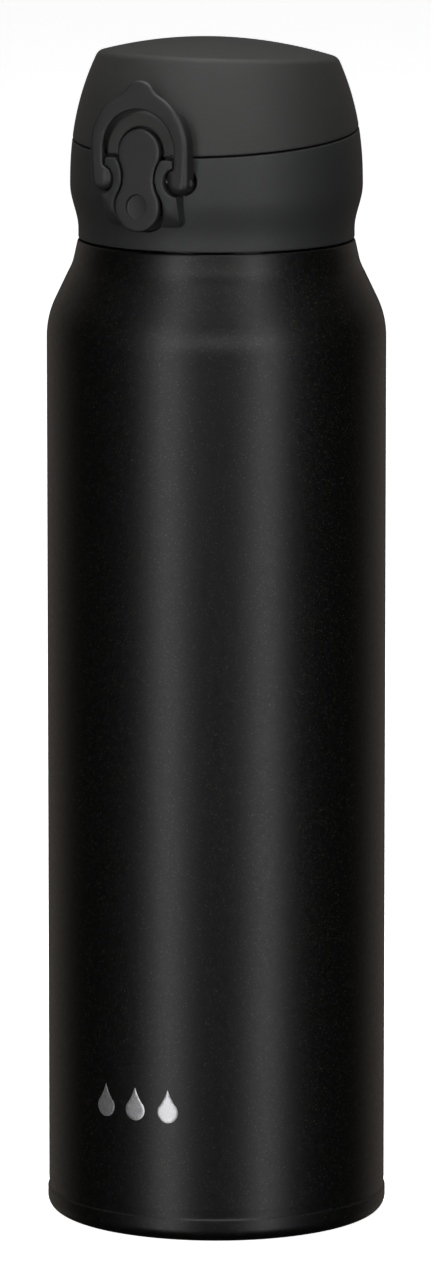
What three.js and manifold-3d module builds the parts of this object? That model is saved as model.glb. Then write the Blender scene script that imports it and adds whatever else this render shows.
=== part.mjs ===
// A one-touch vacuum flask: a double-walled steel bottle with a screw-on cap unit, a sprung flip lid,
// a release lever and a lock ring. Millimetres, +Z up, origin at the centre of the base, front (lever and
// ring) towards -Y.
import * as THREE from "three";
import { mergeVertices } from "three/addons/utils/BufferGeometryUtils.js";
import Module from "manifold-3d";

const wasm = await Module();
wasm.setup();

// ---------------------------------------------------------------- driving dimensions
const ROUND = 40; // sides of a large turned piece
const SMALL_ROUND = 20; // sides of a pin, a hole or a small disc
const GAP = 0.3; // clearance between neighbouring pieces

const BODY = { radius: 36.5, edgeZ: 191.5, seamZ: 212.5, seamRadius: 29.75, wall: 0.6 };
const FOOT = {
  radius: 36.76,
  taperTop: 7.1,
  taperBottom: 4.7,
  round: 3,
  shellEnd: THREE.MathUtils.degToRad(60),
};
const SHOULDER = {
  round: 18.6,
  slope: THREE.MathUtils.degToRad(25.6),
  coneEndZ: 205.2,
  neckSlope: 0.22,
  endZ: 208.5,
};
const NECK = { radius: 25.4, rimZ: 228.4, lip: 0.6 };
const BASE = {
  hole: 1.2,
  dimple: 7.3,
  dimpleZ: 3.4,
  plate: 29.3,
  plateZ: 1.6,
  foot: 33.8,
  sheet: 0.8,
  slope: 1.4,
};
const VESSEL = { radius: 34.2, wall: 0.5, floorZ: 6.5, shoulderZ: 189, neckRadius: 22.9 };
const THREAD = { pitch: 5, height: 1, width: 1.5, bottleZ: 216, bottleTurns: 1.25, capTurns: 1 };

// Heights in the cap unit are counted from the seam between the bottle and the cap.
const CAP = {
  bottomZ: 0.4,
  bottomRadius: 29.65,
  widestZ: 11.7,
  radius: 31.4,
  bore: 26.75,
  deckZ: 17.3,
  deck: 1.8,
  inside: 28.4,
};
const PLUG = { radius: 20.6, wall: 1.6, bottomZ: 9.5 };
// The plane between the cap and the lid, lower at the front.
const SPLIT = { z: 22.95, slope: 0.0774, halfGap: 0.2 };
const LID = {
  edgeZ: 39.65,
  edgeTilt: 1.5,
  edgeDrop: 5.73,
  drop: 2.3,
  crown: 3.7,
  round: 1,
  wall: 1.8,
  wallSteps: 7,
};
const LINER = { outset: 2.25, wall: 1.2, plateZ: 33.4, plate: 1.2 };
const SPOUT = {
  y: -7,
  flange: 16,
  stub: 10,
  baseX: 13,
  baseY: 9,
  lipX: 11,
  lipY: 7,
  holeX: 7.5,
  holeY: 4.2,
  topZ: 31.5,
};

const HINGE = { y: 31.5, z: 25, pin: 0.9, knuckle: 2.5, ear: 2.6, inner: 2.2, lidHalf: 5.6, earHalf: 10.4 };
const PIVOT = { depth: 31, z: 15.6, pin: 0.9, hole: 1.1, pinHalf: 11.7 }; // the pin of the lever and the ring
const FRONT = { boss: 33.6, rim: 32 }; // depths of the front faces of the lever's seat and of the lid's rim
const LEVER = { top: 5, topZ: 5.9, foot: 5.3, footZ: -5.5, waist: 6.65, back: 0.4, face: 3 };
// The lever's hub on the pin, open in the middle for the spring.
const HUB = { radius: 2, half: 3.2, middle: 1.9 };
const NOSE = { half: 2.3, low: 7.6, high: 9.9, reach: 1 }; // the lever's nose inside the lid, about the pin
const DIMPLE = { radius: 2.6, depth: 0.5 }; // the round recess for a fingertip on the lever's lower lobe
const RIM = { outer: 8.4, inner: 5.4, z: 21.5 };
const RING = {
  inner: 8.75,
  outer: 11.9,
  archZ: 6.4,
  rise: 0.8,
  back: 1.2,
  face: 2.4,
  leanZ: 14.5,
  topFace: 1.4,
  topZ: 22.5,
};
const TAB = { topZ: 21.2, corner: 3.9, foot: 5.2 }; // the ring's tab, about the pin
// How far forward the lid's wall and the lid's rim reach as the lid opens, at heights from the pin.
const WALL_PATH = [[-5, 31.8], [10, 31.6], [15.5, 31.2], [24, 30.3]];
const RIM_PATH = [[4, 32.3], [9.5, 32.45], [15.3, 32.15], [18.4, 31.8], [23, 31.1]];
const LOBE = { x: 9.1, radius: 2.7, clearance: 0.35 }; // the round ends of the ring, on the pin
const SEAT_DEPTH = 28.7; // floor of the lever's seat
const BOSS = {
  half: 9.2,
  earHalf: 8.4,
  bottomZ: 5.8,
  topZ: 20.2,
  round: 2,
  slopeZ: 8.5,
  foot: 31.8,
  crown: 80,
};

// ---------------------------------------------------------------- materials
const finish = (color, roughness, metalness = 0) => new THREE.MeshStandardMaterial({ color, roughness, metalness });
const blackPaint = finish(0x141415, 0.32, 0.55);
const bareSteel = finish(0xb4b2ad, 0.35, 1);
const copperFoil = finish(0xb8744a, 0.3, 1);
const greyPlastic = finish(0x35363a, 0.55);
const lidPlastic = finish(0x3d3d3f, 0.6);
const blackPlastic = finish(0x1c1c1e, 0.5);
const silicone = finish(0x8f9092, 0.7);

// ---------------------------------------------------------------- helpers
const point = (x, y) => new THREE.Vector2(x, y);

/** Points on an arc about (cx, cy), from one angle to the other in radians. */
function arc(cx, cy, radius, from, to, steps) {
  const points = [];
  for (let i = 0; i <= steps; i++) {
    const angle = from + ((to - from) * i) / steps;
    points.push(point(cx + radius * Math.cos(angle), cy + radius * Math.sin(angle)));
  }
  return points;
}

/** A closed three.js geometry as a manifold-3d solid. */
function solid(geometry) {
  const bare = geometry.clone();
  bare.deleteAttribute("normal");
  bare.deleteAttribute("uv");
  const merged = mergeVertices(bare, 1e-4);
  const vertProperties = new Float32Array(merged.attributes.position.array);
  const triVerts = new Uint32Array(merged.index.array);
  return new wasm.Manifold(new wasm.Mesh({ numProp: 3, vertProperties, triVerts }));
}

function geometryOf(made) {
  const { vertProperties, triVerts } = made.getMesh();
  const geometry = new THREE.BufferGeometry();
  geometry.setAttribute("position", new THREE.BufferAttribute(new Float32Array(vertProperties), 3));
  geometry.setIndex(new THREE.BufferAttribute(new Uint32Array(triVerts), 1));
  geometry.computeVertexNormals();
  return geometry;
}

/**
 * A turned piece whose profile may change with the angle: profileAt(angle) gives (radius, height) points, with angle
 * 0 at the front, that run up the outside and back down the inside. A profile off the axis closes on itself.
 */
function turned(profileAt, sides = ROUND) {
  const positions = [];
  const index = [];
  const closed = profileAt(0)[0].x > 0;
  for (let i = 0; i < sides; i++) {
    const angle = (i / sides) * 2 * Math.PI;
    for (const { x: radius, y: height } of profileAt(angle)) {
      positions.push(radius * Math.sin(angle), -radius * Math.cos(angle), height);
    }
  }
  const count = positions.length / 3 / sides;
  const last = closed ? count : count - 1;
  for (let i = 0; i < sides; i++) {
    const here = i * count;
    const next = ((i + 1) % sides) * count;
    for (let j = 0; j < last; j++) {
      const k = (j + 1) % count;
      index.push(here + j, next + j, next + k);
      index.push(here + j, next + k, here + k);
    }
  }
  const geometry = new THREE.BufferGeometry();
  geometry.setAttribute("position", new THREE.BufferAttribute(new Float32Array(positions), 3));
  geometry.setIndex(index);
  return solid(geometry);
}

const disc = (radius, bottom, top, sides = SMALL_ROUND) =>
  turned(() => [point(0, bottom), point(radius, bottom), point(radius, top), point(0, top)], sides);

const tube = (inner, outer, bottom, top, sides = ROUND) =>
  turned(() => [point(inner, bottom), point(outer, bottom), point(outer, top), point(inner, top)], sides);

/** An upright rectangle about the centre line, as an outline. */
const box2d = (half, low, high) =>
  new THREE.Shape([point(-half, low), point(half, low), point(half, high), point(-half, high)]);

/** A rod along X at (y, z), between two x. */
function rod(radius, y, z, from, to) {
  const geometry = new THREE.CylinderGeometry(radius, radius, to - from, SMALL_ROUND);
  geometry.rotateZ(Math.PI / 2);
  geometry.translate((from + to) / 2, y, z);
  return solid(geometry);
}

/** A front view outline, in x and z, pushed forward from one depth to another (depth runs towards -Y). */
function frontPrism(shape, from, to) {
  const geometry = new THREE.ExtrudeGeometry(shape, { depth: to - from, bevelEnabled: false, curveSegments: 8 });
  geometry.rotateX(Math.PI / 2);
  geometry.translate(0, -from, 0);
  return solid(geometry);
}

/** A side view outline, in y and z, between two x. */
function sidePrism(shape, from, to) {
  const geometry = new THREE.ExtrudeGeometry(shape, { depth: to - from, bevelEnabled: false, curveSegments: 6 });
  geometry.applyMatrix4(new THREE.Matrix4().set(0, 0, 1, from, 1, 0, 0, 0, 0, 1, 0, 0, 0, 0, 0, 1));
  return solid(geometry);
}

const both = (make) => make(1).add(make(-1));

/**
 * A right-hand screw ridge on a wall: it rises one pitch a turn, and its height fades out at both ends. A negative
 * height points inwards.
 */
function screwRidge(wall, height, startZ, turns, startTurn = 0) {
  const stepsPerTurn = ROUND;
  const steps = Math.round(turns * stepsPerTurn);
  const fade = stepsPerTurn / 10;
  const root = wall - Math.sign(height) * GAP;
  const positions = [];
  for (let i = 0; i <= steps; i++) {
    const angle = (startTurn + i / stepsPerTurn) * 2 * Math.PI;
    const z = startZ + (i / stepsPerTurn) * THREAD.pitch;
    const tip = wall + height * Math.min(1, i / fade, (steps - i) / fade);
    const half = THREAD.width / 2;
    for (const [radius, dz] of [[root, -half], [tip, -half / 2], [tip, half / 2], [root, half]]) {
      positions.push(radius * Math.sin(angle), -radius * Math.cos(angle), z + dz);
    }
  }
  const index = [];
  for (let i = 0; i < steps; i++) {
    for (let j = 0; j < 4; j++) {
      const a = i * 4 + j;
      const b = i * 4 + ((j + 1) % 4);
      index.push(a, a + 4, b + 4, a, b + 4, b);
    }
  }
  const end = steps * 4;
  index.push(0, 1, 2, 0, 2, 3, end, end + 2, end + 1, end, end + 3, end + 2);
  const flipped = height < 0 ? index.reverse() : index;
  const geometry = new THREE.BufferGeometry();
  geometry.setAttribute("position", new THREE.BufferAttribute(new Float32Array(positions), 3));
  geometry.setIndex(flipped);
  return solid(geometry);
}

/** A coil of round wire about an axis along X, centred on the origin. */
function coil(radius, wire, turns, pitch) {
  class Helix extends THREE.Curve {
    getPoint(t, target = new THREE.Vector3()) {
      const angle = t * turns * 2 * Math.PI;
      return target.set((t - 0.5) * turns * pitch, radius * Math.cos(angle), radius * Math.sin(angle));
    }
  }
  const section = new THREE.Shape(arc(0, 0, wire, 0, 1.5 * Math.PI, 3));
  const options = { steps: turns * 10, extrudePath: new Helix(), bevelEnabled: false };
  return new THREE.ExtrudeGeometry(section, options);
}

function piece(name, made, material, place = [0, 0, 0]) {
  const geometry = made.isBufferGeometry ? made : geometryOf(made);
  const mesh = new THREE.Mesh(geometry, material);
  mesh.name = name;
  mesh.position.set(...place);
  return mesh;
}

// ---------------------------------------------------------------- bottle
/** The shell's outside from the body's top edge to the seam: a round, a cone, a hollow round and a shallow cone. */
function shoulderProfile() {
  const { round, slope, coneEndZ, neckSlope, endZ } = SHOULDER;
  const convex = arc(BODY.radius - round, BODY.edgeZ, round, 0, slope, 4);
  const start = convex[convex.length - 1];
  const coneEnd = point(start.x - (coneEndZ - start.y) * Math.tan(slope), coneEndZ);
  const neckStart = point(BODY.seamRadius + (BODY.seamZ - endZ) * neckSlope, endZ);
  const corner = point(neckStart.x + (endZ - 207) * neckSlope, 207);
  const hollow = new THREE.QuadraticBezierCurve(coneEnd, corner, neckStart).getPoints(3);
  return [...convex, ...hollow, point(BODY.seamRadius, BODY.seamZ - 0.4)];
}

function outerShell() {
  const inside = BODY.wall;
  const footCentre = FOOT.radius - FOOT.round;
  const outside = [
    ...arc(footCentre, FOOT.round, FOOT.round, -FOOT.shellEnd, 0, 4),
    point(FOOT.radius, FOOT.taperBottom),
    point(BODY.radius, FOOT.taperTop),
    ...shoulderProfile(),
    point(BODY.seamRadius - 0.5, BODY.seamZ),
    point(NECK.radius, BODY.seamZ),
    point(NECK.radius, NECK.rimZ),
  ];
  const within = [
    point(NECK.radius - inside, NECK.rimZ),
    point(NECK.radius - inside, BODY.seamZ - inside),
    point(BODY.seamRadius - inside, BODY.seamZ - inside - 0.2),
    point(31.3, 204.8),
    point(34.2, 198.9),
    point(BODY.radius - inside, BODY.edgeZ),
    point(BODY.radius - inside, FOOT.round),
    ...arc(footCentre, FOOT.round, FOOT.round - inside, 0, -FOOT.shellEnd, 2).slice(1),
  ];
  const plain = turned(() => [...outside, ...within]);
  return plain.add(screwRidge(NECK.radius, THREAD.height, THREAD.bottleZ, THREAD.bottleTurns));
}

/** The welded bottom: a foot ring, a raised plate and a dimple with the pump-out hole, all of one sheet. */
function baseCup() {
  const { hole, dimple, dimpleZ, plate, plateZ, foot, sheet, slope } = BASE;
  return turned(() => [
    point(hole, dimpleZ),
    point(dimple - GAP, dimpleZ),
    point(dimple - GAP + slope, plateZ),
    point(plate - 0.4, plateZ),
    point(plate - 0.4 + slope, 0),
    point(foot, 0),
    point(foot + 0.7, 0.2),
    point(foot + 0.5, sheet + 0.1),
    point(plate + slope, sheet + 0.1),
    point(plate, plateZ + sheet),
    point(dimple + slope, plateZ + sheet),
    point(dimple, dimpleZ + sheet),
    point(hole, dimpleZ + sheet),
  ]);
}

/** The steel liner that holds the drink, with a lip rolled over the neck of the shell. */
function innerVessel() {
  const { radius, wall, floorZ, shoulderZ, neckRadius } = VESSEL;
  const lipZ = NECK.rimZ + GAP;
  const round = 5;
  return turned(() => [
    point(0, floorZ),
    ...arc(radius - round, floorZ + round, round, -Math.PI / 2, 0, 3),
    point(radius, shoulderZ),
    point(27, 205),
    point(neckRadius, 210),
    point(neckRadius, lipZ),
    point(NECK.radius, lipZ),
    point(NECK.radius, lipZ + NECK.lip),
    point(neckRadius - wall, lipZ + NECK.lip),
    point(neckRadius - wall, 209.7),
    point(26.4, 204.6),
    point(radius - wall, shoulderZ - 0.3),
    ...arc(radius - round, floorZ + round, round - wall, 0, -Math.PI / 2, 3),
    point(0, floorZ + wall),
  ]);
}

function bottle() {
  const group = new THREE.Group();
  const beadProfile = [point(0, 1.9), point(1.8, 2), point(2.6, 2.6), point(2.6, 3.1), point(0, 3.1)];
  const bead = turned(() => beadProfile, SMALL_ROUND);
  group.add(
    piece("outer_shell", outerShell(), blackPaint),
    piece("base_cup", baseCup(), blackPaint),
    piece("base_disc", tube(9, 28.4, 0.7, 1.3), blackPlastic),
    piece("vacuum_seal_bead", bead, bareSteel),
    piece("inner_vessel", innerVessel(), bareSteel),
    piece("heat_foil", tube(VESSEL.radius + GAP, VESSEL.radius + 0.6, 12, 186), copperFoil),
    piece("getter", disc(5, 4.7, VESSEL.floorZ - GAP), bareSteel, [16, 0, 0]),
  );
  return group;
}

// ---------------------------------------------------------------- cap unit
/** Outer radius of the cap and the lid at a height: an S below the widest line, a growing fall above it. */
function capRadius(z) {
  if (z < CAP.widestZ) {
    const rise = THREE.MathUtils.smoothstep(z, CAP.bottomZ, CAP.widestZ);
    return CAP.bottomRadius + (CAP.radius - CAP.bottomRadius) * rise;
  }
  return CAP.radius - LID.edgeDrop * ((z - CAP.widestZ) / (LID.edgeZ - CAP.widestZ)) ** LID.drop;
}

/** Height of the split plane at an angle from the front, at a radius. */
const splitZ = (angle, radius) => SPLIT.z - SPLIT.slope * radius * Math.cos(angle);

function capShell() {
  const deckTop = CAP.deckZ + CAP.deck;
  const outerHeights = [2.6, 4.8, 6.9, 9.1, 11.7, 15.5, 19];
  return turned((angle) => {
    const top = splitZ(angle, CAP.radius) - SPLIT.halfGap;
    return [
      point(0, CAP.deckZ),
      point(PLUG.radius - PLUG.wall, CAP.deckZ),
      point(PLUG.radius - PLUG.wall, PLUG.bottomZ),
      point(PLUG.radius, PLUG.bottomZ),
      point(PLUG.radius, CAP.deckZ),
      point(CAP.bore, CAP.deckZ),
      point(CAP.bore, CAP.bottomZ + 0.5),
      point(CAP.bore + 0.5, CAP.bottomZ),
      point(CAP.bottomRadius - 0.3, CAP.bottomZ),
      point(CAP.bottomRadius, CAP.bottomZ + 0.3),
      ...outerHeights.map((z) => point(capRadius(z), z)),
      point(capRadius(top), top),
      point(CAP.inside, splitZ(angle, CAP.inside) - SPLIT.halfGap),
      point(CAP.inside, deckTop),
      point(0, deckTop),
    ];
  });
}

/** A round end of the ring, about the height of the pin: a ball on the inside, round from the side outside. */
function lobe(side, grow = 0) {
  const radius = LOBE.radius + grow;
  const profile = [...arc(0, 0, radius, -Math.PI / 2, 0, 5), point(radius, radius), point(0, radius)];
  const outline = new THREE.Shape().absarc(side * LOBE.x, 0, radius, 0, 2 * Math.PI);
  return turned(() => profile, SMALL_ROUND)
    .rotate([0, side * 90, 0])
    .translate([side * LOBE.x, -PIVOT.depth, 0])
    .intersect(frontPrism(outline, 20, 40));
}

/** The raised seat of the lever: two ears beside its waist, hollowed round the ring's ends, on a wider foot. */
function bossOutline() {
  const { half, earHalf, bottomZ, topZ, round } = BOSS;
  const hollow = LOBE.radius + LOBE.clearance;
  const earTurn = Math.acos((earHalf - LOBE.x) / hollow);
  const footTurn = Math.acos((half - LOBE.x) / hollow);
  const shape = new THREE.Shape();
  shape.moveTo(earHalf, topZ);
  shape.lineTo(-earHalf, topZ);
  shape.absarc(-LOBE.x, PIVOT.z, hollow, Math.PI - earTurn, Math.PI + footTurn, true);
  shape.absarc(-half + round, bottomZ + round, round, Math.PI, 1.5 * Math.PI);
  shape.absarc(half - round, bottomZ + round, round, 1.5 * Math.PI, 2 * Math.PI);
  shape.absarc(LOBE.x, PIVOT.z, hollow, -footTurn, earTurn, true);
  return shape;
}

/** The lever's front view about its pin: two lobes joined by hollow arcs. Grown by a clearance for its seat. */
function leverOutline(clearance = 0) {
  const { topZ, footZ } = LEVER;
  const top = LEVER.top + clearance;
  const foot = LEVER.foot + clearance;
  const waist = LEVER.waist - clearance;
  const span = topZ - footZ;
  const along = ((waist + foot) ** 2 - (waist + top) ** 2 + span ** 2) / (2 * span);
  const waistX = Math.sqrt((waist + foot) ** 2 - along ** 2);
  const waistZ = footZ + along;
  const footTurn = Math.atan2(along, waistX);
  const topTurn = Math.atan2(topZ - waistZ, waistX);
  const shape = new THREE.Shape();
  shape.absarc(0, topZ, top, -topTurn, Math.PI + topTurn);
  shape.absarc(-waistX, waistZ, waist, topTurn, -footTurn, true);
  shape.absarc(0, footZ, foot, Math.PI - footTurn, 2 * Math.PI + footTurn);
  shape.absarc(waistX, waistZ, waist, Math.PI + footTurn, Math.PI - topTurn, true);
  return shape;
}

/** The seat pushed forward from the cap's wall, its face sloping back to the wall at the foot. */
function boss() {
  const { bottomZ, topZ, slopeZ, foot } = BOSS;
  const side = new THREE.Shape([
    point(-28, bottomZ),
    point(-foot, bottomZ),
    point(-FRONT.boss, slopeZ),
    point(-FRONT.boss, topZ),
    point(-28, topZ),
  ]);
  const crown = disc(BOSS.crown, 0, 30, 96).translate([0, BOSS.crown - FRONT.boss, 0]);
  return frontPrism(bossOutline(), 28, FRONT.boss + 1)
    .intersect(sidePrism(side, -BOSS.half - 1, BOSS.half + 1))
    .intersect(crown);
}

/** The rear block that carries the lid's pin, open in the middle for the lid's knuckles. */
function hingeBlock() {
  const { y, z, ear, knuckle, lidHalf, earHalf } = HINGE;
  const shape = new THREE.Shape();
  shape.moveTo(27.5, 12);
  shape.lineTo(30.6, 12);
  shape.absarc(y, z, ear, -0.25, Math.PI);
  shape.lineTo(27.5, 22);
  return sidePrism(shape, -earHalf, earHalf)
    .subtract(rod(knuckle + 0.4, y, z, -lidHalf - GAP, lidHalf + GAP));
}

function capBody() {
  const lobePockets = both((side) => lobe(side, LOBE.clearance)).translate([0, 0, PIVOT.z]);
  const leverSeat = frontPrism(leverOutline(0.5), SEAT_DEPTH, 40).translate([0, 0, PIVOT.z]);
  const femaleZ = THREAD.bottleZ - BODY.seamZ - THREAD.pitch / 2 + THREAD.pitch / 5 + 0.15;
  return capShell()
    .add(boss())
    .add(hingeBlock())
    .subtract(lobePockets)
    .subtract(leverSeat)
    .subtract(rod(PIVOT.hole, -PIVOT.depth, PIVOT.z, -BOSS.earHalf - 1, BOSS.earHalf + 1))
    .subtract(rod(HINGE.knuckle + 0.4, HINGE.y, HINGE.z, -HINGE.lidHalf - GAP, HINGE.lidHalf + GAP))
    .subtract(rod(HINGE.pin + 0.2, HINGE.y, HINGE.z, -HINGE.earHalf - 1, HINGE.earHalf + 1))
    .subtract(disc(SPOUT.stub + GAP, 15, 22, 32).translate([0, SPOUT.y, 0]))
    .add(screwRidge(CAP.bore, -1.05, femaleZ, THREAD.capTurns, 0.2));
}

/** An oval tapering wall about the spout's centre line. */
function oval(baseX, baseY, topX, topY, bottom, top) {
  const sides = 32;
  const squash = (angle, x, y) => (x * y) / Math.hypot(x * Math.cos(angle), y * Math.sin(angle));
  return turned(
    (angle) => [
      point(0, bottom),
      point(squash(angle, baseX, baseY), bottom),
      point(squash(angle, topX, topY), top),
      point(0, top),
    ],
    sides,
  );
}

/** The drinking spout: an oval mouthpiece on a round flange, with a stub through the deck and an air hole. */
function spout() {
  const flangeZ = CAP.deckZ + CAP.deck + GAP;
  const flangeTop = flangeZ + 1.2;
  return disc(SPOUT.flange, flangeZ, flangeTop, 32)
    .add(disc(SPOUT.stub, CAP.deckZ - 1.3, flangeTop, 32))
    .add(oval(SPOUT.baseX, SPOUT.baseY, SPOUT.lipX, SPOUT.lipY, flangeZ, SPOUT.topZ))
    .subtract(oval(SPOUT.holeX, SPOUT.holeY, SPOUT.holeX, SPOUT.holeY, 10, 40))
    .subtract(disc(1.1, 10, 30, 12).translate([0, 6.6, 0]));
}

function bodySeal() {
  const inner = PLUG.radius + GAP;
  const lip = VESSEL.neckRadius - VESSEL.wall - 0.25;
  return turned(() => [
    point(inner, 10),
    point(lip - 0.5, 10),
    point(lip, 10.6),
    point(lip - 0.5, 11.6),
    point(lip - 0.5, 12),
    point(lip, 13),
    point(lip - 0.5, 13.6),
    point(inner, 13.6),
  ]);
}

// ---------------------------------------------------------------- lid
/** The lid's outside at an angle, from the split up the wall, round the edge and over the crown to the axis. */
function lidOutside(angle) {
  const low = splitZ(angle, CAP.radius) + SPLIT.halfGap;
  const edge = LID.edgeZ + LID.edgeTilt * Math.cos(angle);
  const edgeRadius = capRadius(edge);
  const wallTop = edge - LID.round;
  const topZ = (radius) => {
    const out = radius / edgeRadius;
    return LID.edgeZ + LID.edgeTilt * Math.cos(angle) * out + LID.crown * (1 - out * out);
  };
  const wall = [];
  for (let i = 0; i < LID.wallSteps; i++) {
    const z = low + ((wallTop - low) * i) / LID.wallSteps;
    wall.push(point(capRadius(z), z));
  }
  const crownStart = point(edgeRadius - LID.round, topZ(edgeRadius - LID.round));
  const corner = new THREE.QuadraticBezierCurve(
    point(capRadius(wallTop), wallTop),
    point(edgeRadius, edge),
    crownStart,
  );
  const crown = [0.7, 0.42, 0.2, 0].map((out) => point(edgeRadius * out, topZ(edgeRadius * out)));
  return [...wall, ...corner.getPoints(3), ...crown];
}

function lidShell() {
  return turned((angle) => {
    const outside = lidOutside(angle);
    const low = splitZ(angle, CAP.radius - LID.wall) + SPLIT.halfGap;
    const ceiling = LID.edgeZ + LID.edgeTilt * Math.cos(angle) - LID.wall;
    const inside = [ceiling, (low + ceiling) / 2, low].map((z) => point(capRadius(z) - LID.wall - 0.15, z));
    return [point(0, LID.edgeZ + LID.crown - LID.wall - 0.4), ...inside, ...outside];
  });
}

/** The half ring on the lid that frames the lever's upper lobe. */
function rimArch() {
  const shape = new THREE.Shape();
  const lowest = splitZ(0, FRONT.rim) + SPLIT.halfGap;
  const outerTurn = Math.asin((lowest - RIM.z) / RIM.outer);
  const innerTurn = Math.asin((lowest - RIM.z) / RIM.inner);
  shape.absarc(0, RIM.z, RIM.outer, outerTurn, Math.PI - outerTurn);
  shape.absarc(0, RIM.z, RIM.inner, Math.PI - innerTurn, innerTurn, true);
  return frontPrism(shape, 28.6, FRONT.rim);
}

/** The knuckles on the lid's rear wall, either side of the spring. */
function lidKnuckles() {
  const { y, z, knuckle, inner, lidHalf } = HINGE;
  const shape = new THREE.Shape();
  shape.moveTo(28.2, z + 0.75);
  shape.lineTo(y - 1, z + 0.75);
  shape.absarc(y, z, knuckle, Math.PI, Math.PI * 2.5);
  shape.lineTo(27.6, z + 5);
  return both((side) => sidePrism(shape, side > 0 ? inner : -lidHalf, side > 0 ? lidHalf : -inner));
}

function lidCover() {
  const { y, z, ear, inner, lidHalf, earHalf } = HINGE;
  const earRelief = both((side) => {
    const ends = [lidHalf + 0.1, earHalf + 0.4].map((x) => x * side);
    return rod(ear + 0.45, y, z, Math.min(...ends), Math.max(...ends));
  });
  const notch = box2d(NOSE.half + 2 * GAP, PIVOT.z + NOSE.low - 5.2, PIVOT.z + NOSE.high + GAP);
  return lidShell()
    .add(rimArch())
    .subtract(rod(ear + 0.45, y, z, -inner, inner))
    .add(lidKnuckles())
    .subtract(earRelief)
    .subtract(frontPrism(notch, 29.5, 34))
    .subtract(rod(HINGE.pin + 0.2, y, z, -lidHalf - 1, lidHalf + 1));
}

function lidLiner() {
  return turned((angle) => {
    const low = splitZ(angle, CAP.radius) + 1.6;
    const top = LINER.plateZ + LINER.plate;
    const outer = (z) => capRadius(z) - LINER.outset;
    const middle = (low + top) / 2;
    return [
      point(0, LINER.plateZ),
      point(outer(LINER.plateZ) - LINER.wall, LINER.plateZ),
      point(outer(middle) - LINER.wall, middle),
      point(outer(low) - LINER.wall, low),
      point(outer(low), low),
      point(outer(middle), middle),
      point(outer(top), top),
      point(0, top),
    ];
  });
}

const valveGasket = () => oval(10.6, 6.8, 12.2, 8.2, SPOUT.topZ + GAP, LINER.plateZ - GAP);

// ---------------------------------------------------------------- lever and ring, drawn about their common pin
function releaseLever() {
  const depth = (ahead) => PIVOT.depth + ahead;
  const hub = rod(HUB.radius, -PIVOT.depth, 0, -HUB.half, HUB.half);
  const springRoom = rod(HUB.radius + GAP, -PIVOT.depth, 0, -HUB.middle, HUB.middle);
  const plateFront = frontPrism(leverOutline(), depth(HUB.radius), depth(LEVER.face + 1));
  const nose = box2d(NOSE.half, NOSE.low, NOSE.high);
  const recess = new THREE.Shape().absarc(0, LEVER.footZ, DIMPLE.radius, 0, 2 * Math.PI);
  return frontPrism(leverOutline(), depth(LEVER.back), depth(LEVER.face))
    .add(hub)
    .add(frontPrism(nose, depth(-NOSE.reach), depth(NOSE.reach)))
    .subtract(springRoom.subtract(plateFront))
    .subtract(rod(PIVOT.hole, -PIVOT.depth, 0, -9, 9))
    .subtract(frontPrism(recess, depth(LEVER.face - DIMPLE.depth), depth(LEVER.face + 1)))
    .translate([0, PIVOT.depth, 0]);
}

/** The ring's front view about the pin: an arch with a rounded tab, on two straight legs. */
function ringOutline() {
  const { inner, outer, archZ } = RING;
  const outerZ = archZ + RING.rise;
  const footTurn = Math.asin(TAB.foot / outer);
  const footZ = outerZ + outer * Math.cos(footTurn);
  const shape = new THREE.Shape();
  shape.moveTo(LOBE.x + LOBE.radius - 0.1, 0);
  shape.quadraticCurveTo(outer, outerZ / 2, outer, outerZ);
  shape.absarc(0, outerZ, outer, 0, Math.PI / 2 - footTurn);
  shape.quadraticCurveTo(TAB.corner, TAB.topZ, 0, TAB.topZ);
  shape.quadraticCurveTo(-TAB.corner, TAB.topZ, -TAB.foot, footZ);
  shape.absarc(0, outerZ, outer, Math.PI / 2 + footTurn, Math.PI);
  shape.quadraticCurveTo(-outer, outerZ / 2, -LOBE.x - LOBE.radius + 0.1, 0);
  shape.lineTo(-inner, 0);
  shape.absarc(0, archZ, inner, Math.PI, 0, true);
  shape.lineTo(inner, 0);
  return shape;
}

/** The lock ring: a flat band that leans back at its top, clear of the paths of the lid and of the lid's rim. */
function lockRing() {
  const { back, face, inner, leanZ, topFace, topZ } = RING;
  const lean = new THREE.Shape([
    point(-PIVOT.depth + back, 0),
    point(-PIVOT.depth + back, topZ),
    point(-PIVOT.depth - topFace, topZ),
    point(-PIVOT.depth - face, leanZ),
    point(-PIVOT.depth - face, 0),
  ]);
  const wallFaces = WALL_PATH.map(([z, reach]) => point(reach, z));
  const capPath = turned(() => [point(0, wallFaces[0].y), ...wallFaces, point(0, wallFaces.at(-1).y)], 96);
  const rimFaces = RIM_PATH.map(([z, reach]) => point(-reach, z));
  const rimPath = new THREE.Shape([point(-10, rimFaces[0].y), ...rimFaces, point(-10, rimFaces.at(-1).y)]);
  return frontPrism(ringOutline(), 26, PIVOT.depth + 5)
    .intersect(sidePrism(lean, -20, 20))
    .subtract(capPath)
    .subtract(sidePrism(rimPath, -inner, inner))
    .add(both((side) => lobe(side)))
    .subtract(rod(PIVOT.hole, -PIVOT.depth, 0, -20, 20))
    .translate([0, PIVOT.depth, 0]);
}

// ---------------------------------------------------------------- assembly
function lid() {
  const group = new THREE.Group();
  group.add(
    piece("lid_cover", lidCover(), lidPlastic),
    piece("lid_liner", lidLiner(), blackPlastic),
    piece("valve_gasket", valveGasket(), silicone, [0, SPOUT.y, 0]),
  );
  return group;
}

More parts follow.
